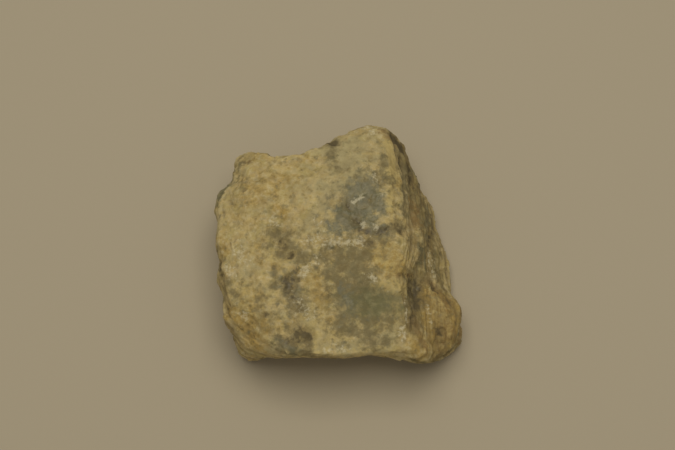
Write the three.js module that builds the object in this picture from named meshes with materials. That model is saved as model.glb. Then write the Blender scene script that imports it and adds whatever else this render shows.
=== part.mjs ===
// A raw block of massive anhydrite, one piece of rock broken out of its bed.
// Millimetres, +Z up. The block lies on its broken underside, with its broad weathered face up.
// Seen by someone who looks down on that face, +X is to the right and +Y is away from them.
// The origin is on the ground, under the middle of the block's box.
import * as THREE from "three";
import { mergeVertices } from "three/addons/utils/BufferGeometryUtils.js";
import { ImprovedNoise } from "three/addons/math/ImprovedNoise.js";

// Driving dimensions
const WIDTH = 155;
const DEPTH = 158;
const HEIGHT = 60;
const FRONT_RIM_HEIGHT = 51;
const RIM_ROUNDING = 3.5;
const FOOT_ROUNDING = 9;
const SEGMENT = 4.5;
const STONE_COLOUR = 0xb8a684;

// Wear: how much of the way each corner goes to the middle of its neighbours in a round, how many rounds there are,
// and how far a corner sticks out, in millimetres, when it counts as a spike and goes most of the way.
const WEAR = 0.1;
const SPIKE_WEAR = 0.75;
const WEAR_ROUNDS = 3;
const SPIKE = 2.4;
const ON_THE_GROUND = 0.001;

// The block's widest outline seen from above, anticlockwise from its front left corner: x, y, and how far the wall
// below that point runs inwards for each millimetre down.
const OUTLINE = [
  [-55, -67, 0.1],
  [-40, -71, 0.25],
  [-20, -72.5, 0.42],
  [40, -72, 0.4],
  [45, -75.5, 0.2],
  [53, -75.5, 0.15],
  [64, -71.5, 0.15],
  [71.5, -63.5, 0.12],
  [78, -56, 0.1],
  [81, -42, 0.08],
  [80, -29, 0.1],
  [74, -17, 0.12],
  [76, -5, 0.1],
  [75, 12, 0.1],
  [66.5, 37, 0.1],
  [54, 52, 0.05],
  [47, 66, 0.06],
  [42, 77, 0.06],
  [30.5, 79.5, 0.08],
  [19.5, 87.5, 0.08],
  [8, 80, 0.08],
  [-2.5, 74, 0.1],
  [-10, 65, 0.12],
  [-26, 59.5, 0.14],
  [-38.5, 58, 0.14],
  [-51, 66.5, 0.12],
  [-64, 61.5, 0.1],
  [-67.5, 51, 0.05],
  [-69.5, 45.5, 0.12],
  [-75.5, 38, 0.1],
  [-75, 18, 0.12],
  [-77.5, -9, 0.16],
  [-67, -31, 0.14],
  [-68, -52, 0.1],
  [-62, -61.5, 0.08],
];

// The broad face is this plane, which tips a little towards the viewer and down to the left.
const FACE_HEIGHT = 56;
const FACE_RISE_X = 0.02;
const FACE_RISE_Y = 0.085;

// Planes that cut the broad face down towards its edges: a point that the plane passes through, and the way it
// falls, as its drop in millimetres for each millimetre that one goes along x and y.
const SLOPES = [
  { name: "right flank", through: [39, -10, 55], drop: [1.3, 0.1] },
  { name: "right flank at the back", through: [35, 45, 57], drop: [1.8, 0.36] },
  { name: "bevel along the flank", through: [33, 50, 57.5], drop: [0.55, 0.12] },
  { name: "bevel along the front", through: [10, -63, 53], drop: [0.05, -0.42] },
  { name: "corner at the front left", through: [-50, -55, 49.5], drop: [-0.5, -0.65] },
  { name: "shoulder on the left", through: [-64, -20, 53], drop: [-0.55, -0.06] },
  { name: "corner at the back left", through: [-60, 36, 53.5], drop: [-0.75, 0.45] },
  { name: "shoulder at the back", through: [-30, 46, 56], drop: [-0.05, 0.25] },
  { name: "peak at the back", through: [14, 64, 61], drop: [0.04, 0.16] },
];

// Hollows, with a minus sign, and lumps on the broad face and the flank: where, how far they reach along their own
// two axes, how far they are turned, in degrees, and how deep or high they are.
const RELIEF = [
  { name: "grey hollow", at: [20, 18], reach: [15, 24], turn: -12, rise: -2.6 },
  { name: "glassy hollow under the ledge", at: [3, -13], reach: [15, 9], turn: 8, rise: -2.4 },
  { name: "smooth dish", at: [27, -41], reach: [14, 10], turn: -10, rise: -2.8 },
  { name: "brown hollow", at: [-29, -2], reach: [10, 7], turn: 20, rise: -2.2 },
  { name: "dark pit", at: [-22, -57], reach: [6.5, 5.5], turn: 0, rise: -4.2 },
  { name: "cream swell", at: [-42, 24], reach: [22, 20], turn: 30, rise: 2 },
  { name: "low swell at the front left", at: [-42, -42], reach: [16, 14], turn: 0, rise: 1.6 },
  { name: "swell at the back", at: [12, 50], reach: [14, 12], turn: 0, rise: 1.6 },
  { name: "swell beside the dish", at: [24, -14], reach: [14, 8], turn: 10, rise: 1.8 },
  { name: "hump at the back left corner", at: [-56, 50], reach: [9, 7], turn: 0, rise: 2.4 },
  { name: "notch at the back left", at: [-66, 40], reach: [7, 5], turn: 40, rise: -4 },
  { name: "rib on the flank", at: [52, 12], reach: [5, 26], turn: 6, rise: 3.2 },
  { name: "groove in the flank", at: [46, 34], reach: [4, 18], turn: 12, rise: -3 },
  { name: "crevice behind the lobe", at: [45, -27], reach: [5.5, 19], turn: -8, rise: -9 },
];

// The lobe low on the right is a lump of its own, grown into the flank.
const LOBE = { at: [57, -44], reach: [25, 31], turn: 14, top: 38, flatness: 2.2, fall: 0.55 };

// The worn ledge that crosses the broad face, as points on its crest, and how far the face drops in front of it.
const LEDGE = [
  [-24, 7],
  [-12, 1],
  [-3, -2],
  [8, -1],
  [19, 3],
];
const LEDGE_DROP = 1.8;
const LEDGE_EDGE = 2.5;
const LEDGE_REACH = 18;

// The walls lean in fully below a band under the rim, and by a share of that in the band too.
const RIM_BAND = 14;
const RIM_BAND_LEAN = 0.3;
const WALL_INSET = 0.4;

// Breakage: the rock parts on flat cleavage faces, so its skin is made of small flat facets that step in and out.
// Near the rim the walls are worn, and only a share of the breakage is left there.
const FACE_BREAK = { size: 15, step: 0.9, tilt: 0.15, seed: 31 };
const WALL_BREAK = { size: 20, step: 2.8, tilt: 0.4, seed: 21 };
const RIM_CALM = { from: 34, to: 46, share: 0.35 };
const FACET_SHARPNESS = 22;

// Beds: the rock lies in beds about as thick as this. Each one's edge stands out or back and is undercut a little.
const BED_THICKNESS = 11;
const BED_STEP = 1.7;
const BED_UNDERCUT = 0.7;

// Smooth swells that bend the beds, the walls, the broad face and the underside: their size, octaves and height.
const BED_SWELL = { size: 40, octaves: 2, height: 5, seed: 3 };
const WALL_SWELL = { size: 30, octaves: 3, height: 1.6, seed: 5 };
const FACE_SWELL = { size: 34, octaves: 4, height: 1.2, seed: 9 };
const UNDERSIDE_SWELL = { size: 38, octaves: 2, height: 2.6, seed: 17 };

// Hollows in the underside start where its swell is over minus this share of its height.
const UNDERSIDE_OPEN = 0.12;

// How quickly a lump or hollow fades with distance, and how much a height over the steep top counts as distance.
const BUMP_FADE = 1.2;
const TOP_DISTANCE = 0.8;

// The skin is looked for along lines out of the rock's heart, as far as this many times the box, in so many halvings.
const HEART = new THREE.Vector3(4, -4, 20);
const LOOK_OUT = 2.5;
const HALVINGS = 26;
const JITTER = 0.5;

const perlin = new ImprovedNoise();
const vertex = new THREE.Vector3();

// A repeatable random number from 0 to 1 for a cell of space.
function chance(i, j, k, seed) {
  const s = Math.sin(i * 127.1 + j * 311.7 + k * 74.7 + seed * 53.9) * 43758.5453;
  return s - Math.floor(s);
}

// Smooth noise, a few octaves deep, whose largest swells are about size millimetres apart.
function swell(p, { size, octaves, height, seed }) {
  let sum = 0;
  let share = 1;
  let scale = 1 / size;
  for (let n = 0; n < octaves; n++) {
    sum += share * perlin.noise(p.x * scale + seed, p.y * scale - seed, p.z * scale + n * 7.3);
    share *= 0.5;
    scale *= 2.1;
  }
  return sum * height;
}

// How far a broken skin of flat facets stands out at a point. Each facet is flat, has a level and a tilt of its own,
// and gives way to the next one where that one's centre is nearer.
function facets(p, { size, step, tilt, seed }) {
  const q = { x: p.x / size, y: p.y / size, z: p.z / size };
  const cell = { x: Math.floor(q.x), y: Math.floor(q.y), z: Math.floor(q.z) };
  let total = 0;
  let height = 0;
  for (let i = cell.x - 1; i <= cell.x + 1; i++)
    for (let j = cell.y - 1; j <= cell.y + 1; j++)
      for (let k = cell.z - 1; k <= cell.z + 1; k++) {
        const dx = q.x - i - chance(i, j, k, seed);
        const dy = q.y - j - chance(i, j, k, seed + 1);
        const dz = q.z - k - chance(i, j, k, seed + 2);
        const weight = Math.exp(-FACET_SHARPNESS * (dx * dx + dy * dy + dz * dz));
        const lean = (n) => (chance(i, j, k, seed + n) * 2 - 1) * tilt * size;
        const level = (chance(i, j, k, seed + 3) * 2 - 1) * step;
        height += weight * (level + dx * lean(4) + dy * lean(5) + dz * lean(6));
        total += weight;
      }
  return height / total;
}

// The smaller of two heights, with the edge between them rounded over that many millimetres.
function roundedMin(a, b, rounding) {
  const share = Math.max(rounding - Math.abs(a - b), 0) / rounding;
  return Math.min(a, b) - share * share * rounding * 0.25;
}

// How far a point is from an ellipse's centre, in units of its reach.
function inReach(x, y, { at, reach, turn }) {
  const angle = THREE.MathUtils.degToRad(turn);
  const dx = x - at[0];
  const dy = y - at[1];
  const along = dx * Math.cos(angle) + dy * Math.sin(angle);
  const across = dy * Math.cos(angle) - dx * Math.sin(angle);
  return Math.hypot(along / reach[0], across / reach[1]);
}

// The nearest place on a line of points: how far away it is, its share of that piece of line, and which piece.
function nearestOn(line, x, y, closed) {
  let best = { distance: Infinity };
  const pieces = closed ? line.length : line.length - 1;
  for (let n = 0; n < pieces; n++) {
    const [ax, ay] = line[n];
    const [bx, by] = line[(n + 1) % line.length];
    const length2 = (bx - ax) ** 2 + (by - ay) ** 2;
    const share = THREE.MathUtils.clamp(((x - ax) * (bx - ax) + (y - ay) * (by - ay)) / length2, 0, 1);
    const distance = Math.hypot(x - ax - share * (bx - ax), y - ay - share * (by - ay));
    if (distance < best.distance) best = { distance, share, n };
  }
  return best;
}

// Whether a point is inside the outline seen from above.
function insideOutline(x, y) {
  let inside = false;
  OUTLINE.forEach(([ax, ay], n) => {
    const [bx, by] = OUTLINE[(n + 1) % OUTLINE.length];
    if (ay > y !== by > y && x < ax + ((y - ay) * (bx - ax)) / (by - ay)) inside = !inside;
  });
  return inside;
}

// How far a point is outside the walls, and less than nothing inside them.
function outsideWalls(p) {
  const { distance, share, n } = nearestOn(OUTLINE, p.x, p.y, true);
  const lean = THREE.MathUtils.lerp(OUTLINE[n][2], OUTLINE[(n + 1) % OUTLINE.length][2], share);
  const depth = FRONT_RIM_HEIGHT - p.z;
  const below = Math.max(depth - RIM_BAND, 0) + Math.max(depth, 0) * RIM_BAND_LEAN;
  const tuck = Math.max(FOOT_ROUNDING - p.z, 0) ** 2 / (2 * FOOT_ROUNDING);
  const flat = insideOutline(p.x, p.y) ? -distance : distance;
  const bed = (p.z + p.x * FACE_RISE_X + p.y * FACE_RISE_Y + swell(p, BED_SWELL)) / BED_THICKNESS;
  const inBed = bed - Math.floor(bed);
  const shelf = BED_STEP * (chance(Math.floor(bed), 0, 0, 11) - 0.5 + (0.5 - inBed) * BED_UNDERCUT);
  const calm = THREE.MathUtils.smoothstep(p.z, RIM_CALM.from, RIM_CALM.to);
  const breakage = facets(p, WALL_BREAK) * THREE.MathUtils.lerp(1, RIM_CALM.share, calm);
  return flat + lean * below + tuck - shelf - breakage - swell(p, WALL_SWELL) + WALL_INSET;
}

// How far the face drops in front of the worn ledge.
function ledgeDrop(x, y) {
  const { distance, share, n } = nearestOn(LEDGE, x, y, false);
  const crest = THREE.MathUtils.lerp(LEDGE[n][1], LEDGE[n + 1][1], share);
  if (y > crest) return 0;
  return LEDGE_DROP * Math.min(distance / LEDGE_EDGE, 1) * Math.max(1 - distance / LEDGE_REACH, 0);
}

// The height of everything that can be seen from above: the broad face, the flank and the lobe.
function topHeight(x, y) {
  const p = { x, y, z: 0 };
  let height = FACE_HEIGHT + x * FACE_RISE_X + y * FACE_RISE_Y - ledgeDrop(x, y);
  for (const { through, drop } of SLOPES) {
    const plane = through[2] - (x - through[0]) * drop[0] - (y - through[1]) * drop[1];
    height = roundedMin(height, plane, RIM_ROUNDING * 2);
  }
  const lobe = LOBE.top * (1 - inReach(x, y, LOBE) ** LOBE.flatness * LOBE.fall);
  height = -roundedMin(-height, -lobe, RIM_ROUNDING);
  for (const bump of RELIEF) height += bump.rise * Math.exp(-BUMP_FADE * inReach(x, y, bump) ** 2);
  return height + facets(p, FACE_BREAK) + swell(p, FACE_SWELL);
}

// Less than nothing inside the rock, and more outside it.
function outsideRock(p) {
  const above = (p.z - topHeight(p.x, p.y)) * TOP_DISTANCE;
  const beside = outsideWalls(p);
  const skin = -roundedMin(-above, -beside, RIM_ROUNDING);
  const hollow = Math.max(swell(p, UNDERSIDE_SWELL) + UNDERSIDE_OPEN * UNDERSIDE_SWELL.height, 0);
  return Math.max(skin, hollow - p.z);
}

// The rock's skin along a line from its heart. The line is halved again and again to find where it leaves the rock.
function skinPoint(towards) {
  let inside = 0;
  let outside = LOOK_OUT;
  for (let halving = 0; halving < HALVINGS; halving++) {
    const middle = (inside + outside) / 2;
    vertex.lerpVectors(HEART, towards, middle);
    if (outsideRock(vertex) < 0) inside = middle;
    else outside = middle;
  }
  return vertex;
}

// Wears the skin a little: each corner goes part of the way to the middle of its neighbours, and those that lie on
// the ground stay there.
function wear(geometry) {
  const position = geometry.getAttribute("position");
  const corners = geometry.index.array;
  const sums = Array.from({ length: position.count }, () => new THREE.Vector3());
  const counts = new Uint8Array(position.count);
  corners.forEach((corner, n) => {
    const next = corners[n % 3 === 2 ? n - 2 : n + 1];
    sums[corner].add(vertex.fromBufferAttribute(position, next));
    counts[corner] += 1;
  });
  sums.forEach((sum, n) => {
    const corner = new THREE.Vector3().fromBufferAttribute(position, n);
    const onTheGround = corner.z === 0;
    const middle = sum.divideScalar(counts[n]);
    const spike = THREE.MathUtils.smoothstep(corner.distanceTo(middle), SPIKE * 0.5, SPIKE);
    corner.lerp(middle, THREE.MathUtils.lerp(WEAR, SPIKE_WEAR, spike));
    position.setXYZ(n, corner.x, corner.y, onTheGround ? 0 : corner.z);
  });
}

// The block starts as a box of small faces, with its top tipped as the broad face is. Each corner of a face is moved
// a little at random, so that no grid shows, and is then carried to the rock's skin. At the end the whole is brought
// to its real size and stood on the ground.
function rockGeometry() {
  const count = (side) => Math.round(side / SEGMENT);
  const box = new THREE.BoxGeometry(WIDTH, DEPTH, HEIGHT, count(WIDTH), count(DEPTH), count(HEIGHT));
  box.translate(0, 0, HEIGHT / 2);
  box.deleteAttribute("normal");
  box.deleteAttribute("uv");
  const geometry = mergeVertices(box);
  const position = geometry.getAttribute("position");
  const towards = new THREE.Vector3();
  for (let n = 0; n < position.count; n++) {
    towards.fromBufferAttribute(position, n);
    towards.z *= (FACE_HEIGHT + towards.x * FACE_RISE_X + towards.y * FACE_RISE_Y) / HEIGHT;
    const jitter = (seed) => (chance(n, 0, 0, seed) - 0.5) * SEGMENT * JITTER;
    towards.add(vertex.set(jitter(41), jitter(42), jitter(43)));
    const { x, y, z } = skinPoint(towards);
    position.setXYZ(n, x, y, z < ON_THE_GROUND ? 0 : z);
  }
  for (let round = 0; round < WEAR_ROUNDS; round++) wear(geometry);
  geometry.computeBoundingBox();
  const size = geometry.boundingBox.getSize(new THREE.Vector3());
  const middle = geometry.boundingBox.getCenter(new THREE.Vector3());
  geometry.translate(-middle.x, -middle.y, 0);
  geometry.scale(WIDTH / size.x, DEPTH / size.y, HEIGHT / size.z);
  geometry.computeVertexNormals();
  return geometry;
}

const anhydrite = new THREE.Mesh(
  rockGeometry(),
  new THREE.MeshStandardMaterial({ color: STONE_COLOUR, roughness: 0.75, metalness: 0, flatShading: true }),
);
anhydrite.name = "anhydrite_block";

const specimen = new THREE.Group();
specimen.add(anhydrite);

export default specimen;
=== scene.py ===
# %% [markdown]
# # A raw block of anhydrite
#
# The object is one lump of massive anhydrite, broken out of its bed and weathered to a pale yellow
# crust. The solid model gives its main shape as a few thousand flat faces. This lesson makes the
# stone's real skin around that shape: grains, pits, cleavage steps and bedding as geometry, and its
# stains and crystals as a procedural material.

# %% Load the solid model as the frame
import math
from collections import namedtuple

import bmesh
import bpy
import numpy as np
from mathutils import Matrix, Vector, noise
from mathutils.bvhtree import BVHTree


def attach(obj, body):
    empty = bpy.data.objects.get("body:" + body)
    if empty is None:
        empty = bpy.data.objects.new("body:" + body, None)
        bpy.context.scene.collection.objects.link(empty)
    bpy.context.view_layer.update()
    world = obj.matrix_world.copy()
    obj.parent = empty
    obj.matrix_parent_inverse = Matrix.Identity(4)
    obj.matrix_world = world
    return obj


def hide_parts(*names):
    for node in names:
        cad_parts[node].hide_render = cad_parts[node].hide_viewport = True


MM = 0.001
NODE = "anhydrite_block"
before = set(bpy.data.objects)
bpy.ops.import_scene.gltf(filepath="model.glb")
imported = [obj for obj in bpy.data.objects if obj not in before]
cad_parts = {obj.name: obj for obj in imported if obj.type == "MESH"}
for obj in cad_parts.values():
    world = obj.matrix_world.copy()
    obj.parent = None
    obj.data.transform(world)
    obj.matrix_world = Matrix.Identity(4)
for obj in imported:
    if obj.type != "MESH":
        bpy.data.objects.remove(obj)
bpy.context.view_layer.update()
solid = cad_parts[NODE]

# %% [markdown]
# ## The camera
#
# The photograph looks down on the block's broad face, a little from the front. The block's size in it
# gives the focal length and the height of the camera, so the camera is placed by sizes and one angle.
# It comes before the stone, because the stains are found by where the photograph shows them.

# %% Place the camera
PICTURE_WIDTH, PICTURE_HEIGHT = 675, 450
FOCAL_LENGTH_IN_PIXELS = 1430
LOOKS_DOWN_BY = math.radians(68)
CAMERA_PLACE = Vector((-0.0006, -0.3221, 0.858))
NEAREST_SEEN = 0.05

camera = bpy.data.objects.new("camera", bpy.data.cameras.new("camera"))
bpy.context.scene.collection.objects.link(camera)
bpy.context.scene.camera = camera
camera.location = CAMERA_PLACE
camera.rotation_euler = (math.radians(90) - LOOKS_DOWN_BY, 0, 0)
camera.data.lens = camera.data.sensor_width * FOCAL_LENGTH_IN_PIXELS / PICTURE_WIDTH
camera.data.clip_start = NEAREST_SEEN
print("lens in mm:", round(camera.data.lens, 1))

# %% [markdown]
# ## The floor
#
# The block lies on a plain pale floor. The floor is stage, not part of the object, so one wide flat
# grid with an even colour is enough.

# %% Lay the floor
FLOOR_SIZE = 6.0
FLOOR_COLOUR = (0.50, 0.445, 0.345, 1)
FLOOR_ROUGHNESS = 0.9


def plain_material(name, colour, roughness):
    """A material of one even colour, for the stage."""
    material = bpy.data.materials.new(name)
    material.use_nodes = True
    shader = material.node_tree.nodes["Principled BSDF"]
    shader.inputs["Base Color"].default_value = colour
    shader.inputs["Roughness"].default_value = roughness
    return material


def lay_floor():
    """A wide flat sheet that touches the block's underside."""
    sheet = bmesh.new()
    bmesh.ops.create_grid(sheet, x_segments=1, y_segments=1, size=FLOOR_SIZE / 2)
    mesh = bpy.data.meshes.new("floor")
    sheet.to_mesh(mesh)
    sheet.free()
    floor = bpy.data.objects.new("floor", mesh)
    bpy.context.scene.collection.objects.link(floor)
    mesh.materials.append(plain_material("floor", FLOOR_COLOUR, FLOOR_ROUGHNESS))


lay_floor()
print("the floor's width in m:", FLOOR_SIZE)

# %% [markdown]
# ## The light
#
# The light is soft, warm and rather dim. It comes from above and a little behind the block, so that the
# front wall is in shadow and throws a short soft shadow forwards. One large area light does that, and
# the sky fills the shadows. Standard is the view that keeps the colours as they are laid.

# %% Set the light
WINDOW_PLACE = Vector((0.0, 0.22, 1.65))
WINDOW_SIZE = 1.3
WINDOW_POWER = 13.6
WARM_WHITE = (1.0, 0.93, 0.78)
SKY_STRENGTH = 0.25

light = bpy.data.lights.new("window", "AREA")
light.size = WINDOW_SIZE
light.energy = WINDOW_POWER
light.color = WARM_WHITE
window = bpy.data.objects.new("window", light)
bpy.context.scene.collection.objects.link(window)
window.location = WINDOW_PLACE
window.rotation_euler = (-WINDOW_PLACE).to_track_quat("-Z", "Y").to_euler()
sky = bpy.data.worlds.new("sky")
sky.use_nodes = True
sky.node_tree.nodes["Background"].inputs["Color"].default_value = (*WARM_WHITE, 1)
sky.node_tree.nodes["Background"].inputs["Strength"].default_value = SKY_STRENGTH
bpy.context.scene.world = sky
bpy.context.scene.view_settings.view_transform = "Standard"
print("the window's power in W:", WINDOW_POWER)

# %% [markdown]
# ## The stone's body
#
# The skin starts as a copy of the solid, so it has exactly its size and place. The copy's loose
# triangles are merged and cut into smaller ones: finest on the broad face, which is looked at most,
# coarser on the walls, and coarsest underneath. Then the cut mesh is smoothed a little, so that the
# solid's flat faces stop showing. Sculpting by hand could do the same, but couldn't be repeated.

# %% Sort the edges by the way they look
BROAD_FACE_RISE = 0.7
UNDERSIDE_RISE = -0.75


def edges_by_rise(shape):
    """The edges of the broad face, of the walls and of the underside, by how far the faces beside
    them look up."""
    broad, wall, under = [], [], []
    for edge in shape.edges:
        rise = max(face.normal.z for face in edge.link_faces)
        if rise > BROAD_FACE_RISE:
            broad.append(edge)
        elif rise > UNDERSIDE_RISE:
            wall.append(edge)
        else:
            under.append(edge)
    return broad, wall, under


print("rises that part broad face, walls and underside:", BROAD_FACE_RISE, UNDERSIDE_RISE)

# %% [markdown]
# ### Cutting and smoothing
#
# The doubles are merged first, because loose triangles would come apart when they are smoothed. Each
# cut turns a triangle into several faces, and all faces are made triangles again afterwards.

# %% Copy, merge, cut and smooth the solid
MERGE_WITHIN = 0.01 * MM
BROAD_FACE_CUTS = 5
WALL_CUTS = 3
UNDERSIDE_CUTS = 1
SMOOTHING_ROUNDS = 10
SMOOTHING_SHARE = 0.5

stone = bmesh.new()
stone.from_mesh(solid.data)
bmesh.ops.remove_doubles(stone, verts=stone.verts, dist=MERGE_WITHIN)
stone.normal_update()
for edges, cuts in zip(edges_by_rise(stone), (BROAD_FACE_CUTS, WALL_CUTS, UNDERSIDE_CUTS)):
    bmesh.ops.subdivide_edges(stone, edges=edges, cuts=cuts, use_grid_fill=True)
bmesh.ops.triangulate(stone, faces=stone.faces)
for _ in range(SMOOTHING_ROUNDS):
    bmesh.ops.smooth_vert(
        stone,
        verts=stone.verts,
        factor=SMOOTHING_SHARE,
        use_axis_x=True,
        use_axis_y=True,
        use_axis_z=True,
    )
bmesh.ops.recalc_face_normals(stone, faces=stone.faces)
stone.normal_update()
print("the stone's skin has", len(stone.faces), "triangles")

# %% [markdown]
# ## From a pixel of the photograph to a point on the stone
#
# A stain is easiest to describe by where the photograph shows it. The line of sight through that pixel
# is followed until it meets the solid, and the stain is put there, so it stays on the stone from every
# side.

# %% Find points on the stone
STONE_MIDDLE = (337, 245)
STEPS_INWARDS = 12
STEP_INWARDS = 0.01

bpy.context.view_layer.update()
solid_surface = BVHTree.FromObject(solid, bpy.context.evaluated_depsgraph_get())


def point_on_stone(pixel):
    """Where the line of sight through a pixel of the photograph meets the solid, in millimetres. Where
    it passes the stone by, the nearest pixel towards the stone's middle is taken."""
    for step in range(STEPS_INWARDS):
        share = step * STEP_INWARDS
        across = pixel[0] * (1 - share) + STONE_MIDDLE[0] * share - PICTURE_WIDTH / 2
        down = pixel[1] * (1 - share) + STONE_MIDDLE[1] * share - PICTURE_HEIGHT / 2
        sight = camera.matrix_world.to_quaternion() @ Vector((across, -down, -FOCAL_LENGTH_IN_PIXELS))
        place = solid_surface.ray_cast(CAMERA_PLACE, sight.normalized())[0]
        if place is not None:
            return place / MM
    raise ValueError(f"the line of sight through {pixel} misses the stone")


print("the middle of the picture is on the stone at", point_on_stone(STONE_MIDDLE))

# %% [markdown]
# ## Where the stone changes
#
# The crust is cream to straw yellow, and other tones lie in it or show through it. Each stain is one
# line: it runs from one pixel of the photograph to another, reaches some millimetres to each side, and
# has a strength. At a strength of 1 its edge lies near its reach, and well below 1 only flecks of it
# show. The relief and the colours both read the stains, so a dark pit is also deep. Painting a picture
# on the stone would be the other way, but it would need an image.

# %% Begin the list of stains
Stain = namedtuple("Stain", "start end reach strength")
stains = {}
print("a stain is", Stain._fields)

# %% [markdown]
# ### Fresh rock
#
# Where the crust is thin or gone, the rock itself shows. It is pale and greenish on the upper slope,
# glassy blue grey in the middle, olive brown in a column below that, and smooth and greenish on a
# broken face near the ridge.

# %% Stains of fresh rock
stains["sage"] = {
    "upper slope": Stain((343, 150), (352, 178), 14, 0.95),
    "slope beside the ridge": Stain((374, 138), (378, 160), 7, 0.7),
    "left of the grey patch": Stain((330, 170), (318, 212), 8, 0.6),
    "upper middle": Stain((304, 172), (308, 208), 8, 0.5),
    "above the white band": Stain((300, 228), (336, 224), 6, 0.6),
    "under the crust in the middle": Stain((275, 308), (312, 314), 7, 0.5),
    "front bevel": Stain((322, 347), (386, 347), 3.8, 0.95),
    "front bevel, left end": Stain((262, 348), (290, 348), 4, 0.6),
    "left side": Stain((238, 268), (262, 282), 6, 0.45),
    "left side, pale": Stain((246, 243), (256, 262), 6, 0.6),
    "in the column": Stain((352, 260), (360, 284), 5, 0.6),
    "left of the smooth face": Stain((340, 296), (344, 318), 4, 0.6),
    "right of the front pit": Stain((300, 318), (326, 322), 6, 0.55),
    "above the front rim": Stain((372, 334), (396, 332), 6, 0.65),
}
stains["grey"] = {
    "glassy patch": Stain((364, 198), (352, 214), 9, 1.25),
    "glassy patch, right": Stain((374, 200), (369, 217), 6.5, 1.15),
    "glassy patch, core": Stain((352, 206), (358, 224), 5.5, 1.3),
    "glassy patch, low end": Stain((348, 220), (334, 230), 5.5, 0.85),
    "round the flecks": Stain((360, 226), (384, 228), 4, 0.85),
    "left of the middle": Stain((286, 276), (294, 298), 5, 0.6),
    "beside the front pit": Stain((278, 342), (294, 347), 3.5, 0.55),
    "column": Stain((346, 292), (346, 314), 4, 0.6),
    # This stain paints the blue-grey sheen high on the flank.
    "flank, high": Stain((414, 170), (419, 182), 3, 0.85),
    "flank, middle": Stain((427, 212), (426, 234), 3, 0.75),
    "flank, low": Stain((422, 246), (424, 264), 3.5, 0.6),
    "beside the crevice": Stain((411, 285), (412, 300), 4, 0.7),
    "left corner": Stain((219, 197), (231, 183), 3.2, 1.0),
}
stains["green"] = {
    "smooth face": Stain((363, 303), (388, 303), 7, 1.15),
    "smooth face, top": Stain((368, 296), (386, 296), 4, 0.9),
    "smooth face, right end": Stain((396, 303), (402, 306), 4, 0.7),
}
stains["olive"] = {
    "column": Stain((334, 258), (346, 292), 9.5, 1.1),
    "column, right": Stain((356, 256), (360, 290), 8.5, 1.1),
    # Partly olive rock and partly painted shade on the lower side of the ledge above it.
    "below the white band": Stain((324, 252), (364, 253), 5, 0.95),
    "below the smooth face": Stain((348, 318), (390, 320), 7, 0.85),
    "low in the middle": Stain((342, 326), (368, 336), 6.5, 0.85),
    "along the ridge": Stain((384, 156), (385, 178), 2.0, 0.75),
    "below the edge pit": Stain((331, 146), (333, 166), 3.5, 0.8),
    "flank beside the ridge": Stain((402, 162), (405, 214), 3, 1.0),
    "left corner": Stain((239, 165), (243, 183), 4, 0.5),
    "left of the middle": Stain((275, 236), (298, 254), 7.5, 0.85),
    "right of that": Stain((302, 248), (320, 256), 4, 0.7),
    "spot on the left": Stain((274, 268), (278, 275), 3, 0.6),
    "middle": Stain((280, 282), (302, 304), 7, 0.72),
    "middle, core": Stain((288, 276), (292, 304), 4, 0.6),
    "left edge": Stain((228, 286), (235, 298), 4, 0.75),
    "under the front pit": Stain((280, 344), (304, 348), 4.5, 1.0),
    "behind the ridge": Stain((398, 226), (376, 240), 5, 0.8),
    "dark side of the grey patch": Stain((350, 206), (358, 222), 6, 0.85),
    "slope above the grey patch": Stain((358, 178), (384, 176), 6.5, 0.7),
    "front left": Stain((246, 300), (286, 322), 8, 0.42),
    "near the front rim": Stain((378, 338), (392, 341), 4, 0.6),
}
print("stains of fresh rock:", sum(len(stains[tone]) for tone in ("sage", "grey", "green", "olive")))

# %% [markdown]
# ### Iron and painted shade
#
# Iron has stained the crust ochre, most of all on the lobe at the right, and rust brown in seams. Straw
# yellow lies along the crest and the edges, partly as the crust's colour and partly as painted highlight
# where those edges catch the light. The long steep flank to the right of the ridge, the crevice and the
# lobe's foot get a dark brown tone that is painted shade; on the hidden sides the same tone lies in
# random patches.

# %% Stains of iron and painted shade
stains["ochre"] = {
    "back left": Stain((250, 160), (264, 156), 3.5, 0.6),
    "left half": Stain((255, 190), (292, 184), 11, 0.55),
    "spots on the left": Stain((277, 208), (286, 214), 2.5, 0.85),
    "left side": Stain((240, 215), (262, 234), 7, 0.4),
    "left edge": Stain((220, 243), (225, 251), 3.5, 0.7),
    "left, low": Stain((255, 245), (262, 262), 4, 0.5),
    "below the bright spot": Stain((272, 264), (280, 268), 2.5, 0.7),
    "middle": Stain((316, 280), (322, 300), 4.5, 0.85),
    "middle, low": Stain((328, 304), (332, 326), 5, 0.6),
    "front left": Stain((250, 300), (264, 326), 8, 0.75),
    "front left corner": Stain((236, 316), (256, 342), 7, 0.85),
    "beside the ridge": Stain((380, 256), (402, 268), 8.5, 0.9),
    "above the front rim": Stain((378, 328), (396, 325), 3, 0.4),
    "crest": Stain((391, 150), (396, 178), 1.8, 0.75),
    "orange spot on the crest": Stain((397, 184), (400, 183), 2.3, 1.1),
    "crest, lower": Stain((391, 192), (390, 201), 2, 0.85),
    "ridge": Stain((390, 206), (393, 224), 3, 0.5),
    "lobe, left": Stain((428, 300), (436, 345), 8, 1.1),
    "foot of the ridge": Stain((413, 324), (422, 354), 6, 0.9),
    "lobe, right": Stain((446, 298), (455, 336), 8, 1.15),
    "back edge": Stain((300, 160), (309, 158), 3, 0.5),
}
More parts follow.
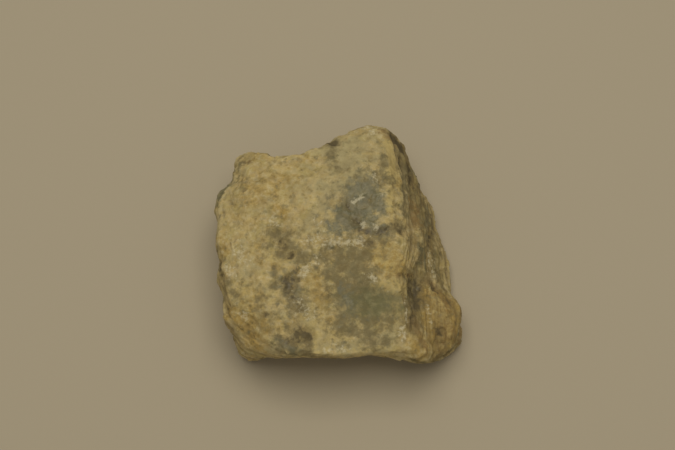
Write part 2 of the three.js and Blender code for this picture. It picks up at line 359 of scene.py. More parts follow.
stains["straw"] = {
    # The crest's two stains are partly painted highlight where the ridge catches the light.
    "crest": Stain((389, 146), (394, 178), 3.8, 1.5),
    "crest, lower": Stain((392, 188), (391, 206), 2.6, 0.95),
    "beside the ridge": Stain((380, 260), (404, 264), 5, 0.6),
    # The next two are partly painted highlight on lit edges: the top of the smooth face and the front
    # bevel.
    "over the crevice": Stain((376, 282), (402, 287), 4, 0.85),
    "front bevel": Stain((312, 349), (398, 349), 2.6, 0.7),
    "near the front rim": Stain((376, 325), (392, 324), 3, 0.8),
    "bright spot": Stain((274, 258), (286, 259), 2.4, 1.0),
    "left side": Stain((232, 290), (258, 300), 6, 0.6),
    "right of the front pit": Stain((312, 324), (332, 338), 6, 0.6),
    "lobe": Stain((434, 292), (446, 318), 3, 0.6),
}
stains["rust"] = {
    "flank": Stain((413, 206), (416, 223), 3.6, 0.95),
    "lobe, high": Stain((428, 281), (438, 290), 3, 0.95),
    "lobe's edge": Stain((460, 310), (461, 343), 2.6, 1.0),
    "lobe, middle": Stain((444, 300), (450, 338), 8, 0.75),
    "lobe, low": Stain((415, 322), (424, 346), 3.2, 0.85),
    "seam": Stain((397, 276), (412, 276), 1.5, 0.85),
    "lower seam": Stain((395, 283), (408, 282), 1.2, 0.75),
    "back left corner": Stain((245, 161), (250, 163), 2, 0.65),
    "back right corner": Stain((384, 132), (394, 142), 3.5, 0.9),
}
# These stains paint shade: the flank that turns away from the light, the crevice and the lobe's foot are
# darkened in colour.
stains["grime_and_shade"] = {
    "flank, high": Stain((404, 154), (413, 190), 6.5, 1.4),
    "back right corner": Stain((394, 135), (404, 150), 3.8, 1.2),
    "flank, middle": Stain((416, 194), (428, 236), 9.5, 1.2),
    "flank, low": Stain((424, 240), (422, 278), 6.5, 0.78),
    "below the flank": Stain((432, 245), (441, 286), 5.5, 0.8),
    "crevice": Stain((411, 282), (414, 324), 6, 1.15),
    "lobe's foot": Stain((456, 346), (416, 360), 4, 0.7),
}
print("stains of iron and dirt:", sum(len(stains[tone]) for tone in ("ochre", "straw", "rust", "grime_and_shade")))

# %% [markdown]
# ### Crushed crystals, pits, painted highlights and painted shade
#
# Blows have crushed the crystals to white flecks. The white tone also paints highlights: a band along
# the lit edge of a small ledge across the face, the front bevel, the edges of the smooth face and of the
# crevice, and glints on cleavage faces in the grey rock. Holes and a few seams are nearly black, and the
# dark tone also paints the deep shade of the crevice between the ridge and the lobe and the shade of the
# flank that turns away from the light.

# %% White and dark stains
stains["white"] = {
    # The band's three stains are painted highlight on the lit edge of the small ledge.
    "band, left": Stain((306, 241), (320, 237), 2.4, 0.75),
    "band, middle": Stain((324, 243), (338, 240), 2.6, 0.8),
    "band, right": Stain((342, 243), (361, 242), 2.6, 0.95),
    # These three flecks in and beside the grey patch are partly crushed crystals and partly painted
    # glints on cleavage faces.
    "fleck in the grey": Stain((353, 202), (362, 197), 1.2, 1.1),
    "fleck below the grey": Stain((363, 223), (364, 226), 1.4, 1.1),
    "fleck to its right": Stain((375, 225), (377, 229), 1.5, 1.1),
    "pair above the grey": Stain((375, 174), (376, 183), 1.4, 0.75),
    "right of the grey": Stain((382, 192), (383, 194), 1.5, 0.75),
    "spot in the middle": Stain((306, 268), (303, 274), 2.6, 1.0),
    "above that spot": Stain((317, 255), (317, 264), 1.5, 0.75),
    "spot on the left": Stain((272, 219), (273, 223), 2.5, 0.8),
    "left edge": Stain((226, 268), (234, 274), 2.5, 0.85),
    "left": Stain((238, 250), (243, 262), 3.5, 0.65),
    "front left": Stain((243, 314), (246, 317), 2.2, 0.85),
    "back corner": Stain((368, 126), (374, 134), 2.5, 0.75),
    "right of the column": Stain((370, 277), (374, 279), 2.2, 0.85),
    "near the front right": Stain((403, 329), (404, 337), 2, 0.9),
    # These two are painted highlights on the lit edges of the crevice and of the smooth face.
    "edge of the crevice": Stain((405, 300), (407, 322), 1.1, 0.7),
    "edge of the smooth face": Stain((381, 289), (406, 297), 0.9, 0.7),
    # Painted highlight on the lit front bevel.
    "front bevel": Stain((324, 350), (347, 348), 1.8, 0.75),
    "below the flank": Stain((429, 252), (434, 276), 2.6, 0.65),
    "lobe": Stain((428, 305), (430, 322), 1.2, 0.65),
    "middle, low": Stain((296, 300), (312, 316), 4, 0.5),
    "above the band": Stain((316, 219), (323, 229), 2.5, 0.55),
}
stains["dark"] = {
    "front pit": Stain((298, 333), (305, 337), 3.3, 1.2),
    "front pit, left end": Stain((288, 340), (298, 340), 2.4, 0.75),
    "edge pit": Stain((331, 139), (334, 142), 2.4, 1.5),
    "left of the middle": Stain((289, 279), (290, 287), 2.2, 1.0),
    "seam left of the middle": Stain((284, 281), (296, 280), 1.6, 0.8),
    "below that": Stain((288, 292), (297, 304), 3, 0.6),
    "above that": Stain((294, 276), (295, 270), 1.5, 0.75),
    "in the grey": Stain((348, 206), (349, 208), 1.6, 0.65),
    "in the grey, low": Stain((355, 219), (358, 222), 1.8, 0.75),
    "below the flecks": Stain((361, 230), (368, 232), 1.8, 0.85),
    "below the flecks, right": Stain((376, 233), (388, 229), 1.8, 0.8),
    "right of the band": Stain((365, 243), (370, 243), 2, 0.65),
    # From here to the stain behind the ridge, the dark tone paints the shade of the flank that turns
    # away from the light.
    "top of the flank": Stain((395, 137), (404, 151), 2.8, 1.3),
    "beside the crest": Stain((400, 158), (401, 170), 2, 0.9),
    "flank, high": Stain((409, 165), (412, 183), 2.3, 1.0),
    "flank, middle": Stain((428, 198), (435, 226), 2.4, 0.95),
    "flank, low": Stain((434, 230), (430, 246), 2, 0.75),
    "behind the ridge": Stain((397, 225), (402, 232), 2.2, 0.8),
    "high left of the middle": Stain((281, 243), (284, 247), 2, 0.7),
    "beside the bright spot": Stain((289, 257), (292, 255), 1.4, 0.9),
    "left edge": Stain((218, 265), (220, 277), 1.5, 1.0),
    "left edge, lower": Stain((226, 309), (227, 312), 1.6, 0.7),
    # The crevice's four stains paint its deep shade.
    "crevice": Stain((416, 286), (417, 306), 3, 1.0),
    "crevice, left": Stain((409, 283), (411, 296), 2.6, 0.8),
    "crevice, low": Stain((411, 306), (413, 324), 2.4, 0.75),
    "crevice, top": Stain((408, 279), (424, 282), 1.8, 0.75),
    "lobe, high": Stain((432, 284), (436, 290), 2, 1.0),
    "lobe, low": Stain((439, 328), (441, 333), 2, 0.8),
    "lobe, right": Stain((446, 296), (450, 302), 1.8, 0.7),
    "front left": Stain((265, 314), (269, 316), 1.8, 0.7),
    "seam": Stain((401, 275), (413, 277), 1.2, 0.7),
}
print("white and dark stains:", sum(len(stains[tone]) for tone in ("white", "dark")))

# %% [markdown]
# ### Fibres
#
# The lobe and the flank have fine fibres and ribs, where the thin beds come out at the side. They get a
# tone of their own, which shapes the relief and streaks the colour.

# %% Stains of fibres
stains["fibre"] = {
    "lobe": Stain((430, 298), (444, 344), 12, 1.0),
    "flank, high": Stain((408, 152), (418, 195), 6, 1.0),
    "flank, low": Stain((424, 200), (430, 280), 9, 1.0),
    "crevice": Stain((413, 284), (414, 322), 6, 1.0),
}
print("stains of fibres:", len(stains["fibre"]))

# %% [markdown]
# ### Calm edges
#
# The front rim and the crest are worn to plain, nearly straight edges. There the relief is held back.

# %% Stains of calm
stains["calm"] = {
    "front rim": Stain((258, 353), (402, 354), 5, 1.0),
    "front left corner": Stain((240, 346), (250, 354), 4, 0.8),
    "crest": Stain((389, 140), (396, 180), 3, 0.8),
}
print("calm edges:", len(stains["calm"]))

# %% [markdown]
# ## How strongly a point belongs to each tone
#
# A stain fades out with the square of the distance from its line. The points are first pushed about by
# noise of three sizes, which makes every stain's outline as irregular as a real one. Blender's vector
# noise starts from the clock unless it is given a seed, so one is set, and the stone is the same each
# time.

# %% Push the points about
Push = namedtuple("Push", "size reach full_from")
PUSHES = (Push(14.0, 5.0, 12.0), Push(5.0, 2.2, 5.0), Push(2.2, 0.8, 1.5))
NOISE_SEED = 4

noise.seed_set(NOISE_SEED)
places = [corner.co / MM for corner in stone.verts]
rows = np.array(places)
pushes = [
    np.array([noise.noise_vector(point / push.size) * push.reach for point in places]) for push in PUSHES
]


def pushed(points, reach):
    """The points pushed about. A small stain is pushed less than a big one."""
    for push, moves in zip(PUSHES, pushes):
        points = points + moves * min(reach / push.full_from, 1.0)
    return points


print("the farthest pushes in mm:", [round(float(np.abs(moves).max()), 1) for moves in pushes])

# %% [markdown]
# ### One stain
#
# For every point, the nearest place on the stain's line is found, and the weight falls with the distance
# to it. All points are weighed at once as an array, which is far faster than one after the other.

# %% Weigh a stain at every point
FADE = 0.5


def stain_weights(points, stain):
    """How strongly each point belongs to a stain."""
    start, end = (np.array(point_on_stone(pixel)) for pixel in (stain.start, stain.end))
    way = end - start
    points = pushed(points, stain.reach)
    share = np.clip((points - start) @ way / (way @ way), 0, 1)
    away = np.linalg.norm(points - start - share[:, None] * way, axis=1)
    return stain.strength * np.exp(-FADE * (away / stain.reach) ** 2)


print("points to weigh:", len(places))

# %% [markdown]
# ### The sides that the photograph doesn't show
#
# These sides get patches of noise for each tone, so that they are as mottled as the broad face. A patch
# begins where the noise passes its low value, is full at its high one, and counts only as far as the
# surface turns away from the camera.

# %% Weigh the tones at every point
Patches = namedtuple("Patches", "size low high strength")
HIDDEN_TONES = {
    "grey": Patches(17, 0.25, 0.85, 0.9),
    "sage": Patches(24, 0.0, 0.7, 0.8),
    "olive": Patches(20, 0.1, 0.8, 0.7),
    "ochre": Patches(14, 0.1, 0.8, 0.9),
    "rust": Patches(9, 0.45, 1.0, 0.8),
    "grime_and_shade": Patches(26, -0.1, 0.7, 0.8),
    "white": Patches(7, 0.55, 1.0, 0.9),
    "dark": Patches(8, 0.6, 1.1, 0.9),
    "fibre": Patches(30, -0.2, 0.4, 0.8),
}
PATCH_SMOOTHNESS, PATCH_STEP, PATCH_LAYERS = 0.7, 2.1, 3
HIDDEN_BELOW, SEEN_ABOVE = 0.0, 0.35


def ramp(value, low, high):
    """0 below low and 1 above high, with an even S curve between them."""
    share = min(max((value - low) / (high - low), 0.0), 1.0)
    return share * share * (3 - 2 * share)


def turned_away(corner):
    """1 where the camera doesn't see the surface and 0 where it does."""
    towards_camera = (CAMERA_PLACE / MM - corner.co / MM).normalized()
    return 1 - ramp(towards_camera.dot(corner.normal), HIDDEN_BELOW, SEEN_ABOVE)


def hidden_weights(points, tone):
    """Patches of noise where the camera doesn't see the stone."""
    kind = HIDDEN_TONES[tone]
    offset = Vector((kind.size, 2 * kind.size, 3 * kind.size))
    patches = []
    for point in points:
        cloud = noise.fractal((point + offset) / kind.size, PATCH_SMOOTHNESS, PATCH_STEP, PATCH_LAYERS)
        patches.append(ramp(cloud, kind.low, kind.high))
    return np.array(patches) * hidden * kind.strength


hidden = np.array([turned_away(corner) for corner in stone.verts])
weights = {}
for tone, members in stains.items():
    weights[tone] = hidden_weights(places, tone) if tone in HIDDEN_TONES else np.zeros(len(places))
    for stain in members.values():
        weights[tone] = np.maximum(weights[tone], stain_weights(rows, stain))
print("mean weights:", {tone: round(float(values.mean()), 3) for tone, values in weights.items()})

# %% [markdown]
# ## The relief
#
# Several things shape the skin. The crust is granular, with lumps of a few millimetres and finer
# grains. Where the rock has broken, its cleavage leaves flat facets that step in and out. Both come
# from cells of space: a grain is round about its cell's middle, and a facet is one plane for each cell.

# %% Shapes of grains, facets and pores
GRAIN_STEEPNESS = 1.3
LEAN_DRAW, LEVEL_DRAW, PORE_DRAW = 9.7, 5.3, 7.9
PORE_EDGE, PORE_FLOOR = 0.30, 0.08


def grains(point, size):
    """Rounded lumps of that size, from about -1 in the grooves between them to 1 on their tops."""
    distances, _ = noise.voronoi(point / size)
    return 1 - 2 * min(distances[0] * GRAIN_STEEPNESS, 1.0)


def facet(point, size, tilt):
    """A flat facet for each cell of space, with a level and a slope of its own."""
    _, centres = noise.voronoi(point / size)
    away = point / size - centres[0]
    lean = noise.cell_vector(centres[0] * LEAN_DRAW) * 2 - Vector((1, 1, 1))
    level = noise.cell_vector(centres[0] * LEVEL_DRAW)[0] * 2 - 1
    return level + away.dot(lean) * tilt


def pores(point, size, share):
    """1 in the middle of a few of the cells of space and 0 elsewhere. The share is how many count."""
    distances, centres = noise.voronoi(point / size)
    chosen = noise.cell_vector(centres[0] * PORE_DRAW)[1] < share
    return ramp(distances[0], PORE_EDGE, PORE_FLOOR) if chosen else 0.0


print("a grain at the frame's origin stands out by", round(grains(Vector(), 1), 2))

# %% [markdown]
# ### Beds and fibres
#
# Across the walls and the flank runs the bedding, as thin ribs and grooves at one level, which lean a
# little as the bed did. Noise that is drawn out far along the bed and is fine across it gives them. The
# fibres are the same idea the other way: fine from side to side and long from front to back.

# %% Shapes of beds and fibres
BED_TILT = Vector((0.02, 0.085, 1.0)).normalized()
BED_LENGTH = 26
BED_WAVE, BED_WAVE_SHARE = 3, 0.7
THICK_BED, THICK_BED_HEIGHT = 3.4, 1.3
THIN_BED, THIN_BED_HEIGHT, THIN_BED_SHIFT = 1.3, 0.6, 9
FIBRE_WIDTH, FIBRE_LENGTH, FIBRE_RISE = 1.5, 11, 6
FIBRE_CONTRAST = 1.6


def bedding(point):
    """Thin ribs and grooves that follow the beds, from about -1 to 1."""
    bed = point.dot(BED_TILT)
    slow = Vector((point.x / BED_LENGTH, point.y / BED_LENGTH, 0))
    wave = noise.noise(slow * BED_WAVE_SHARE) * BED_WAVE
    thick = noise.noise(Vector((slow.x, slow.y, (bed + wave) / THICK_BED)))
    thin = noise.noise(Vector((slow.x * 2, slow.y * 2, (bed + wave) / THIN_BED + THIN_BED_SHIFT)))
    return thick * THICK_BED_HEIGHT + thin * THIN_BED_HEIGHT


def fibres(point):
    """Thin streaks that run from front to back, from about -1 to 1."""
    place = Vector((point.x / FIBRE_WIDTH, point.y / FIBRE_LENGTH, point.z / FIBRE_RISE))
    return noise.noise(place) * FIBRE_CONTRAST


beds = [bedding(point) for point in places]
print("the beds run from", round(min(beds), 2), "to", round(max(beds), 2))

# %% [markdown]
# ### All of it together
#
# The worn broad face is granular, and the steep sides show facets and beds. Fresh glassy rock is
# smoother, and crushed crystals are rougher. Holes sink in where the dark stains are, and pores are
# strewn over the crust. All of them move a point along its own normal. A Displace modifier could do it,
# but couldn't read where each kind of surface lies.

# %% Sizes and heights of the relief, in millimetres
CRUST_GRAIN, CRUST_HEIGHT = 3.6, 0.20
FINE_GRAIN, FINE_HEIGHT = 1.8, 0.08
CRUST_WARP, FINE_WARP, FACET_WARP = (5, 1.5), (3, 1), (9, 2)
ROUGH_SIZE, ROUGH_HEIGHT = 7, 0.45
ROUGH_SMOOTHNESS, ROUGH_STEP, ROUGH_LAYERS = 0.7, 2.2, 5
FACET_SIZE, FACET_STEP, FACET_TILT = 6.5, 0.42, 1.4
CRYSTAL_SIZE, CRYSTAL_STEP, CRYSTAL_TILT = 2.4, 0.3, 1.2
BED_HEIGHT = 0.75
FIBRE_HEIGHT = 0.4
PIT_DEPTH = 1.6
PORE_SIZE, PORE_SHARE, PORE_DEPTH = 7.0, 0.2, 0.8
print("the deepest hole in mm:", PIT_DEPTH)

# %% [markdown]
# ### Where each kind of surface lies
#
# How far the normal looks up says how worn the skin is, and the weights say where the rock is glassy,
# crushed, fibrous, calm or holed. The height at a point is the sum of what those kinds give.

# %% Add up the relief at a point
WORN_FROM, WORN_TO = 0.72, 0.93
GREY_IS_SMOOTH, GREEN_IS_SMOOTH = 0.45, 0.85
GREY_HAS_CRYSTALS = 0.6
WEAR_TAKES_FACETS = 0.75
FACETS_OF_SMOOTH_ROCK = 0.3
CALM_SHARE = 0.75


def warped(point, size, reach):
    """The point moved by noise, so that cells of space lose their straight edges."""
    return point + noise.noise_vector(point / size) * reach


def relief(point, rise, bed, tone):
    """How far the skin stands out at a point, in millimetres. The rise is the normal's, the bed is the
    bedding there, and the tone holds the weights."""
    worn = ramp(rise, WORN_FROM, WORN_TO)
    smooth = min(max(tone["grey"] * GREY_IS_SMOOTH, tone["green"] * GREEN_IS_SMOOTH), 1.0)
    crystals = min(max(tone["white"], tone["grey"] * GREY_HAS_CRYSTALS), 1.0)
    lumps = grains(warped(point, *CRUST_WARP), CRUST_GRAIN) * CRUST_HEIGHT
    lumps += grains(warped(point, *FINE_WARP), FINE_GRAIN) * FINE_HEIGHT
    rough = noise.fractal(point / ROUGH_SIZE, ROUGH_SMOOTHNESS, ROUGH_STEP, ROUGH_LAYERS) * ROUGH_HEIGHT
    broken = facet(warped(point, *FACET_WARP), FACET_SIZE, FACET_TILT) * FACET_STEP
    height = (lumps * worn + rough) * (1 - smooth)
    height += broken * (1 - WEAR_TAKES_FACETS * worn) + broken * FACETS_OF_SMOOTH_ROCK * smooth
    height += bed * BED_HEIGHT * (1 - worn)
    height += facet(point, CRYSTAL_SIZE, CRYSTAL_TILT) * CRYSTAL_STEP * crystals
    height += fibres(point) * FIBRE_HEIGHT * min(tone["fibre"], 1.0)
    height -= pores(point, PORE_SIZE, PORE_SHARE) * PORE_DEPTH * (1 - smooth)
    height *= 1 - CALM_SHARE * min(tone["calm"], 1.0)
    height -= tone["dark"] * PIT_DEPTH
    return height


print("a rise from", WORN_FROM, "to", WORN_TO, "goes from broken to worn")

# %% [markdown]
# ### Moving the points
#
# Every height is worked out before any point moves, because a point that has moved would change its
# neighbours' normals. No point goes below the floor.

# %% Move each point of the skin
heights = []
for number, corner in enumerate(stone.verts):
    tone = {name: float(values[number]) for name, values in weights.items()}
    heights.append(relief(places[number], corner.normal.z, beds[number], tone))
for corner, height in zip(stone.verts, heights):
    corner.co += corner.normal * height * MM
    corner.co.z = max(corner.co.z, 0.0)
print("the relief runs from", round(min(heights), 2), "to", round(max(heights), 2), "mm")

# %% [markdown]
# ## The skin as an object
#
# The weights go onto the mesh as attributes, one for each tone. The relief, the bedding and how steep
# the stone is get attributes too, and the material reads them all.

# %% Make the object
weights["relief"] = heights
weights["bed"] = beds
weights["steep"] = [1 - ramp(corner.normal.z, WORN_FROM, WORN_TO) for corner in stone.verts]
for title, values in weights.items():
    layer = stone.verts.layers.float.new(title)
    for corner, value in zip(stone.verts, values):
        corner[layer] = value
mesh = bpy.data.meshes.new("anhydrite_skin")
stone.to_mesh(mesh)
stone.free()
mesh.shade_smooth()
skin = bpy.data.objects.new("anhydrite_skin", mesh)
bpy.context.scene.collection.objects.link(skin)
print("the skin's attributes:", [layer.name for layer in mesh.attributes if layer.domain == "POINT"])

# %% [markdown]
# ## Building blocks for the material
#
# A material is a tree of nodes. Three small helpers keep the building of it readable: one adds a node,
# one feeds a number, a colour or another node's output into an input, and one calculates.

# %% Helpers for nodes
def add_node(tree, kind, **settings):
    """A new node with its settings."""
    node = tree.nodes.new(kind)
    for title, value in settings.items():
        setattr(node, title, value)
    return node


def feed(tree, value, socket):
    """Feeds an input: with a link from another node's output, or with a plain number or colour."""
    if isinstance(value, bpy.types.NodeSocket):
        tree.links.new(value, socket)
    else:
        socket.default_value = value


def calculate(tree, operation, *values):
    """The result of a sum, a product or another operation on outputs and numbers."""
    node = add_node(tree, "ShaderNodeMath", operation=operation)
    for value, socket in zip(values, node.inputs):
        feed(tree, value, socket)
    return node.outputs[0]


print("helpers:", add_node.__name__, feed.__name__, calculate.__name__)

# %% [markdown]
# ### Ragged patches
#
# One pattern comes back in every layer: a patch with a ragged edge. Noise is added to a weight, and the
# patch shows where the sum passes a level. A weight that is the same everywhere gives flecks and
# blotches instead. It is a node group, built once and placed with values of its own in each layer.

# %% Build the group for ragged patches
RAGGED_NUMBERS = {"Weight": 0.0, "Size": 4.0, "Raggedness": 0.6, "Level": 0.5, "Softness": 0.2}
CLOUD_DETAIL = 5
CLOUD_ROUGHNESS = 0.62
CLOUD_MIDDLE = 0.5


def ragged_group():
    """A mask that follows a weight, with an edge broken up by noise of a size in millimetres."""
    tree = bpy.data.node_groups.new("ragged", "ShaderNodeTree")
    tree.interface.new_socket("Vector", in_out="INPUT", socket_type="NodeSocketVector")
    for title, value in RAGGED_NUMBERS.items():
        socket = tree.interface.new_socket(title, in_out="INPUT", socket_type="NodeSocketFloat")
        socket.default_value = value
    tree.interface.new_socket("Mask", in_out="OUTPUT", socket_type="NodeSocketFloat")
    given = tree.nodes.new("NodeGroupInput").outputs
    made = tree.nodes.new("NodeGroupOutput").inputs
    cloud = add_node(tree, "ShaderNodeTexNoise")
    feed(tree, given["Vector"], cloud.inputs["Vector"])
    feed(tree, calculate(tree, "DIVIDE", 1 / MM, given["Size"]), cloud.inputs["Scale"])
    feed(tree, CLOUD_DETAIL, cloud.inputs["Detail"])
    feed(tree, CLOUD_ROUGHNESS, cloud.inputs["Roughness"])
    centred = calculate(tree, "SUBTRACT", cloud.outputs["Fac"], CLOUD_MIDDLE)
    broken = calculate(tree, "MULTIPLY_ADD", centred, given["Raggedness"], given["Weight"])
    cut = add_node(tree, "ShaderNodeMapRange", interpolation_type="SMOOTHSTEP")
    feed(tree, broken, cut.inputs["Value"])
    feed(tree, calculate(tree, "SUBTRACT", given["Level"], given["Softness"]), cut.inputs["From Min"])
    feed(tree, calculate(tree, "ADD", given["Level"], given["Softness"]), cut.inputs["From Max"])
    feed(tree, cut.outputs["Result"], made["Mask"])
    return tree


ragged = ragged_group()
print("the group has", len(ragged.nodes), "nodes")

# %% [markdown]
# ## The stone's material
#
# The colours are laid over each other: cream crust first, then the beds, then the stains, some of which
# paint shade on the flank, in the crevice and at the lobe's foot, then fibres and mottling, and last the
# darker grooves, the crushed crystals with painted highlights, and the dark holes with painted shade.
# All patterns read Object coordinates, or the weights that the mesh carries.

# %% Begin the material
material = bpy.data.materials.new("anhydrite")
material.use_nodes = True
finish = material.node_tree
shader = finish.nodes["Principled BSDF"]
place = add_node(finish, "ShaderNodeTexCoord").outputs["Object"]
mesh.materials.clear()
mesh.materials.append(material)
print("the skin's material:", mesh.materials[0].name)

# %% [markdown]
# ### Reading the stone
#
# Each of these helpers adds a node or two and gives its output. They read a weight from the mesh, make
# the mask of a patch, draw out the coordinates, or stretch a value from one range to another.

# %% Helpers that read the stone
Patch = namedtuple("Patch", "size raggedness level softness")
EVEN_WEIGHT = 0.5


def weight_of(name):
    """A weight that the mesh carries."""
    return add_node(finish, "ShaderNodeAttribute", attribute_name=name).outputs["Fac"]


def patch_mask(patch, weight=EVEN_WEIGHT, where=None):
    """The mask of a ragged patch. Without a weight of its own it is blotches all over the stone."""
    node = add_node(finish, "ShaderNodeGroup", node_tree=ragged)
    feed(finish, place if where is None else where, node.inputs["Vector"])
    feed(finish, weight, node.inputs["Weight"])
    for title, value in zip(("Size", "Raggedness", "Level", "Softness"), patch):
        node.inputs[title].default_value = value
    return node.outputs["Mask"]


def drawn_out(x, y, z):
    """The place, with each axis drawn out that many times."""
    node = add_node(finish, "ShaderNodeMapping")
    feed(finish, place, node.inputs["Vector"])
    node.inputs["Scale"].default_value = (1 / x, 1 / y, 1 / z)
    return node.outputs["Vector"]


def remap(value, low, high, to_low=0.0, to_high=1.0):
    """The value stretched from one range to another."""
    node = add_node(finish, "ShaderNodeMapRange")
    feed(finish, value, node.inputs["Value"])
    for title, number in zip(("From Min", "From Max", "To Min", "To Max"), (low, high, to_low, to_high)):
        node.inputs[title].default_value = number
    return node.outputs["Result"]


print("the weights of", len(weights), "kinds can be read")

# %% [markdown]
# ### Layers of colour
#
# A Mix node lays one colour over another where a mask is white. Its inputs have the same name for every
# kind of data, so the ones for colours are found by number.

# %% A helper that lays one colour over another
Layer = namedtuple("Layer", "colour amount patch")
MIX_FACTOR, MIX_UNDER, MIX_OVER, MIX_RESULT = 0, 6, 7, 2


def lay(under, colour, mask, amount, blend="MIX"):
    """Lays a colour over what is under it where the mask is white, and gives what then shows."""
    node = add_node(finish, "ShaderNodeMix", data_type="RGBA", blend_type=blend)
    feed(finish, calculate(finish, "MULTIPLY", mask, amount), node.inputs[MIX_FACTOR])
    feed(finish, under, node.inputs[MIX_UNDER])
    node.inputs[MIX_OVER].default_value = colour
    return node.outputs[MIX_RESULT]


def lay_blotches(under, layers):
    """Lays blotches all over the stone, one layer after the other."""
    for layer in layers.values():
        under = lay(under, layer.colour, patch_mask(layer.patch), layer.amount)
    return under


print("a layer is", Layer._fields)

# %% [markdown]
# ### The crust
#
# The crust is cream with soft blotches of tan, rose and moss, and paler spots. Each crystal has a shade
# of its own. The smallest flecks come last.

# %% Lay the crust
CREAM = (0.655, 0.52, 0.230, 1)
PALE = (0.78, 0.70, 0.45, 1)
BLOTCHES = {
    "tan": Layer((0.515, 0.38, 0.13, 1), 0.75, Patch(9.0, 2.6, 0.54, 0.45)),
    "rose": Layer((0.60, 0.44, 0.23, 1), 0.4, Patch(6.0, 2.8, 0.62, 0.3)),
    "moss": Layer((0.45, 0.39, 0.15, 1), 0.6, Patch(7.5, 2.8, 0.60, 0.40)),
    "pale": Layer(PALE, 0.45, Patch(3.0, 2.8, 0.66, 0.3)),
}
FLECKS = {
    "pale": Layer(PALE, 0.2, Patch(1.9, 2.8, 0.74, 0.30)),
    "brown": Layer((0.22, 0.155, 0.06, 1), 0.22, Patch(1.6, 2.8, 0.72, 0.30)),
}
CRYSTAL_SHADE = (0.62, 0.50, 0.24, 1)
CRYSTAL_AMOUNT = 0.12
CRYSTALS_PER_METRE = 1 / (2.0 * MM)


def crystal_shades():
    """A number from 0 to 1 for each crystal."""
    node = add_node(finish, "ShaderNodeTexVoronoi")
    feed(finish, place, node.inputs["Vector"])
    node.inputs["Scale"].default_value = CRYSTALS_PER_METRE
    split = add_node(finish, "ShaderNodeSeparateColor")
    feed(finish, node.outputs["Color"], split.inputs["Color"])
    return split.outputs["Red"]


colour = lay_blotches(CREAM, BLOTCHES)
colour = lay(colour, CRYSTAL_SHADE, crystal_shades(), CRYSTAL_AMOUNT, "MULTIPLY")
colour = lay_blotches(colour, FLECKS)
print("the crust has", len(BLOTCHES) + len(FLECKS), "layers of blotches")

# %% [markdown]
# ### The beds on the walls
#
# On steep sides the grooves between the beds are brown and their ribs are pale. The bedding's attribute
# says where they are, so the colours follow the shape.

# %% Colour the beds
BED_SHADE, BED_SHADE_AMOUNT = (0.25, 0.175, 0.075, 1), 0.6
BED_LIGHT, BED_LIGHT_AMOUNT = (0.70, 0.60, 0.36, 1), 0.4
SHADE_FROM, SHADE_TO = 0.1, -0.8
LIGHT_FROM, LIGHT_TO = 0.2, 0.9

steep = weight_of("steep")
bed = weight_of("bed")
shaded = calculate(finish, "MULTIPLY", steep, remap(bed, SHADE_FROM, SHADE_TO))
lit = calculate(finish, "MULTIPLY", steep, remap(bed, LIGHT_FROM, LIGHT_TO))
colour = lay(colour, BED_SHADE, shaded, BED_SHADE_AMOUNT)
colour = lay(colour, BED_LIGHT, lit, BED_LIGHT_AMOUNT)
print("nodes after the beds:", len(finish.nodes))

# %% [markdown]
# ### The stains
#
# Each tone has one colour and one kind of edge: soft and wide for sage, tighter for rust. Iron and
# painted shade lie over the pale sage, and the dark fresh rock cuts through them all, so it comes last.

# %% Lay the stains
TONES = {
    "sage": Layer((0.47, 0.41, 0.22, 1), 0.85, Patch(7.0, 2.4, 0.58, 0.45)),
    "ochre": Layer((0.43, 0.285, 0.066, 1), 0.84, Patch(4.5, 2.6, 0.60, 0.40)),
    # This dark brown tone paints shade on the flank, in the crevice and at the lobe's foot.
    "grime_and_shade": Layer((0.155, 0.12, 0.043, 1), 0.88, Patch(4.5, 2.0, 0.50, 0.40)),
    "rust": Layer((0.25, 0.15, 0.046, 1), 0.80, Patch(3.2, 2.4, 0.60, 0.35)),
    # Straw yellow is the crust's colour, and in places painted highlight on the crest and lit edges.
    "straw": Layer((0.64, 0.51, 0.205, 1), 0.80, Patch(2.6, 2.8, 0.62, 0.40)),
    "olive": Layer((0.165, 0.135, 0.060, 1), 0.85, Patch(5.0, 3.2, 0.55, 0.46)),
    "green": Layer((0.155, 0.150, 0.066, 1), 0.88, Patch(6.0, 2.4, 0.52, 0.44)),
    "grey": Layer((0.120, 0.122, 0.066, 1), 0.88, Patch(4.5, 3.0, 0.54, 0.46)),
}
masks = {}


def lay_stain(under, tone, layer):
    """Lays a tone where its weight wins, and keeps its mask."""
    masks[tone] = patch_mask(layer.patch, weight_of(tone))
    return lay(under, layer.colour, masks[tone], layer.amount)


for tone, layer in TONES.items():
    colour = lay_stain(colour, tone, layer)
print("stains laid:", list(masks))

# %% [markdown]
# ### Fibres and mottling
#
# The fibres are blotches in a space that is drawn out from front to back, so they turn into streaks. A
# faint mottling of brown and of cream goes over everything, as dust and handling leave it.

# %% Lay the fibres and the mottling
STREAK_STRETCH = (1.0, 8.0, 4.0)
FIBRES = {
    "shade": Layer((0.15, 0.095, 0.028, 1), 0.6, Patch(1.5, 3.0, 0.58, 0.3)),
    "light": Layer((0.55, 0.42, 0.145, 1), 0.4, Patch(1.9, 3.0, 0.66, 0.25)),
}
MOTTLING = {
    "shade": Layer((0.20, 0.165, 0.08, 1), 0.22, Patch(5.5, 2.6, 0.66, 0.4)),
    "light": Layer((0.60, 0.52, 0.29, 1), 0.22, Patch(4.2, 2.6, 0.68, 0.4)),
}

streaked = drawn_out(*STREAK_STRETCH)
fibre = weight_of("fibre")
for layer in FIBRES.values():
    streaks = calculate(finish, "MULTIPLY", fibre, patch_mask(layer.patch, where=streaked))
    colour = lay(colour, layer.colour, streaks, layer.amount)
colour = lay_blotches(colour, MOTTLING)
print("nodes after the mottling:", len(finish.nodes))

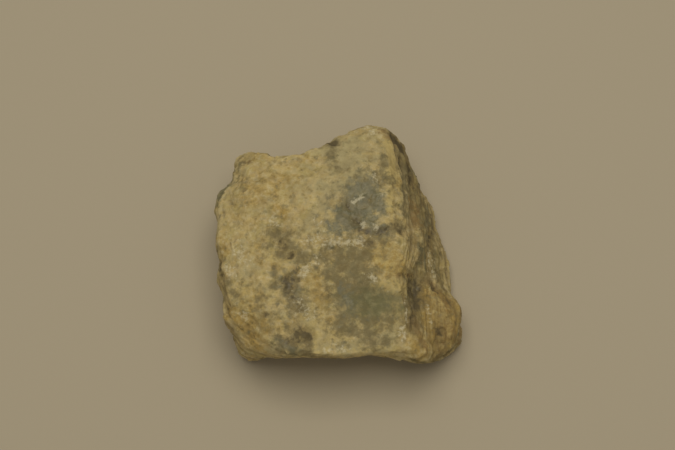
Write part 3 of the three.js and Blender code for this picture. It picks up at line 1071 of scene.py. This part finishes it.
# %% [markdown]
# ### Grooves, crystals, holes, painted highlights and painted shade
#
# The colour is darker in the grooves between grains, which the relief's attribute gives. Then come the
# crushed crystals with the white tone's painted highlights and, last of all, the dark holes with the
# dark tone's painted shade.

# %% Lay the grooves, crystals and holes
GROOVE, GROOVE_AMOUNT = (0.20, 0.145, 0.06, 1), 0.42
GROOVE_FROM, GROOVE_TO = 0.15, -0.8
# WHITE lays crushed crystals and painted highlights, DARK lays holes and painted shade.
WHITE = Layer((0.76, 0.70, 0.50, 1), 0.58, Patch(1.9, 3.4, 0.80, 0.42))
DARK = Layer((0.07, 0.053, 0.023, 1), 0.8, Patch(3.0, 2.4, 0.72, 0.38))

grooves = remap(weight_of("relief"), GROOVE_FROM, GROOVE_TO)
colour = lay(colour, GROOVE, grooves, GROOVE_AMOUNT)
colour = lay_stain(colour, "white", WHITE)
colour = lay_stain(colour, "dark", DARK)
feed(finish, colour, shader.inputs["Base Color"])
print("masks kept:", list(masks))

# %% [markdown]
# ### Gloss and fine grain
#
# The crust is dull, and the glassy grey rock shines a little. Two bumps of noise, one on top of the
# other, give the grain that is too small for the mesh.

# %% Set the roughness and the bump
CRUST_ROUGHNESS, GLASSY_ROUGHNESS = 0.84, 0.5
ANHYDRITE_IOR = 1.57
Bump = namedtuple("Bump", "size detail roughness height strength")
COARSE_BUMP = Bump(2.4, 4.0, 0.56, 0.7, 0.45)
FINE_BUMP = Bump(0.9, 3.0, 0.6, 0.25, 0.35)


def grain_bump(bump, before=None):
    """A bump of noise, with its size and height in millimetres, on top of another one."""
    cloud = add_node(finish, "ShaderNodeTexNoise")
    feed(finish, place, cloud.inputs["Vector"])
    cloud.inputs["Scale"].default_value = 1 / (bump.size * MM)
    cloud.inputs["Detail"].default_value = bump.detail
    cloud.inputs["Roughness"].default_value = bump.roughness
    node = add_node(finish, "ShaderNodeBump")
    node.inputs["Strength"].default_value = bump.strength
    node.inputs["Distance"].default_value = bump.height * MM
    feed(finish, cloud.outputs["Fac"], node.inputs["Height"])
    if before is not None:
        feed(finish, before, node.inputs["Normal"])
    return node.outputs["Normal"]


gloss = remap(masks["grey"], 0.0, 1.0, CRUST_ROUGHNESS, GLASSY_ROUGHNESS)
feed(finish, gloss, shader.inputs["Roughness"])
shader.inputs["IOR"].default_value = ANHYDRITE_IOR
feed(finish, grain_bump(FINE_BUMP, grain_bump(COARSE_BUMP)), shader.inputs["Normal"])
print("the material has", len(finish.nodes), "nodes")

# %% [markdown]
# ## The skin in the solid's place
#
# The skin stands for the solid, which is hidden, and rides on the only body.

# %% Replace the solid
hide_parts(NODE)
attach(skin, "root")
